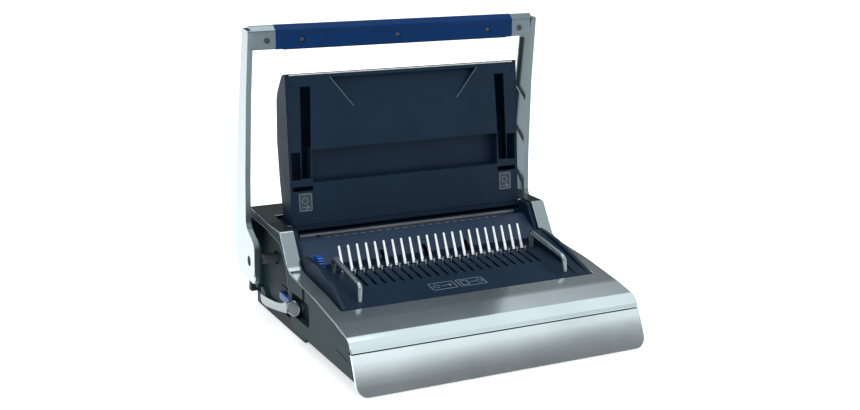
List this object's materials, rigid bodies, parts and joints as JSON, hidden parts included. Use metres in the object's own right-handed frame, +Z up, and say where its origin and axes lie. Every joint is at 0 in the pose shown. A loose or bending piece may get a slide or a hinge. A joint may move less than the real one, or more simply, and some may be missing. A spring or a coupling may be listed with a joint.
{
  "type": "comb binding machine",
  "caption": "Manual punch and comb binding machine: sloped body with storage drawer, U-shaped punch handle, folding lid, comb fingers, bails and a comb lever.",
  "frame": {"origin": "on the table, under the middle of the bounding box in plan", "axes": "+X to the operator's right, +Y to the back, +Z up"},
  "size_m": [0.4988, 0.4499, 0.4517],
  "materials": {
    "dark_cover": "dark slate, fine grain",
    "silver_cover": "silver metallic lacquer",
    "silver_casting": "silver lacquer",
    "charcoal": "charcoal blue, satin grain",
    "black_plastic": "black, moulded",
    "grip_blue": "navy, satin",
    "dial_blue": "bright blue",
    "satin_steel": "satin",
    "tool_steel": "ground",
    "label": "printed panel",
    "rubber": "matt"
  },
  "bodies": {
    "base": {"base_pan": "black_plastic", "rubber_feet": "rubber", "side_cover_left": "dark_cover", "side_cover_right": "dark_cover", "rear_cover": "dark_cover", "top_cover": "silver_cover", "comb_bed": "charcoal", "cheek_left": "charcoal", "cheek_right": "charcoal", "guide_cover": "charcoal", "comb_fingers": "satin_steel", "bail_left": "satin_steel", "bail_right": "satin_steel", "throat_front": "charcoal", "throat_rear": "charcoal", "stripper_plate": "satin_steel", "punch_die": "tool_steel", "frame_plates": "tool_steel", "hinge_brackets": "charcoal"},
    "handle": {"handle_shaft": "tool_steel", "handle_arm_left": "silver_casting", "handle_arm_right": "silver_casting", "grip_body": "grip_blue", "grip_panel": "grip_blue", "handle_screws": "satin_steel", "pivot_covers": "dark_cover", "pivot_bosses": "dark_cover"},
    "punch": {"pressure_bar": "tool_steel", "punch_pins": "tool_steel"},
    "lid": {"lid_shell": "charcoal", "lid_face": "charcoal", "lid_trim": "satin_steel", "label_plates": "label", "lid_pins": "satin_steel"},
    "comb_lever": {"lever_shaft": "tool_steel", "lever_arm": "silver_casting", "lever_grip": "black_plastic", "lever_cap": "black_plastic"},
    "rake": {"hook_rake": "satin_steel"},
    "guide_dial": {"guide_wheel": "dial_blue"},
    "guide_slide": {"edge_guide": "charcoal"},
    "drawer": {"drawer_front": "silver_cover", "drawer_tray": "black_plastic"},
    "chip_drawer": {"chip_tray": "black_plastic", "chip_tab": "dial_blue"}
  },
  "joints": [
    {"name": "handle_pull", "type": "hinge", "parent": "base", "child": "handle", "pos_m": [0, 0.1435, 0.096], "axis": [1, 0, 0], "range_deg": [0, 91]},
    {"name": "punch_stroke", "type": "slide", "parent": "base", "child": "punch", "axis": [0, -1, 0], "range_m": [0, 0.0135]},
    {"name": "lid_fold", "type": "hinge", "parent": "base", "child": "lid", "pos_m": [0, 0.104, 0.151], "axis": [1, 0, 0], "range_deg": [0, 108]},
    {"name": "lever_lift", "type": "hinge", "parent": "base", "child": "comb_lever", "pos_m": [0, 0.008, 0.058], "axis": [1, 0, 0], "range_deg": [0, 85]},
    {"name": "rake_slide", "type": "slide", "parent": "base", "child": "rake", "axis": [0, -0.9922, -0.1246], "range_m": [0, 0.045]},
    {"name": "dial_turn", "type": "hinge", "parent": "base", "child": "guide_dial", "pos_m": [-0.1856, 0.015, 0.1135], "axis": [1, 0, 0], "range_deg": [-40, 40]},
    {"name": "guide_shift", "type": "slide", "parent": "base", "child": "guide_slide", "axis": [1, 0, 0], "range_m": [-0.004, 0.004]},
    {"name": "drawer_pull", "type": "slide", "parent": "base", "child": "drawer", "axis": [0, -1, 0], "range_m": [0, 0.16]},
    {"name": "chip_pull", "type": "slide", "parent": "base", "child": "chip_drawer", "axis": [1, 0, 0], "range_m": [0, 0.2]}
  ],
  "couplings": [
    {"joint": "punch_stroke", "follows": "handle_pull", "m_per_rad": 0.0084},
    {"joint": "rake_slide", "follows": "lever_lift", "m_per_rad": 0.0303},
    {"joint": "guide_shift", "follows": "dial_turn", "m_per_rad": 0.0057}
  ]
}
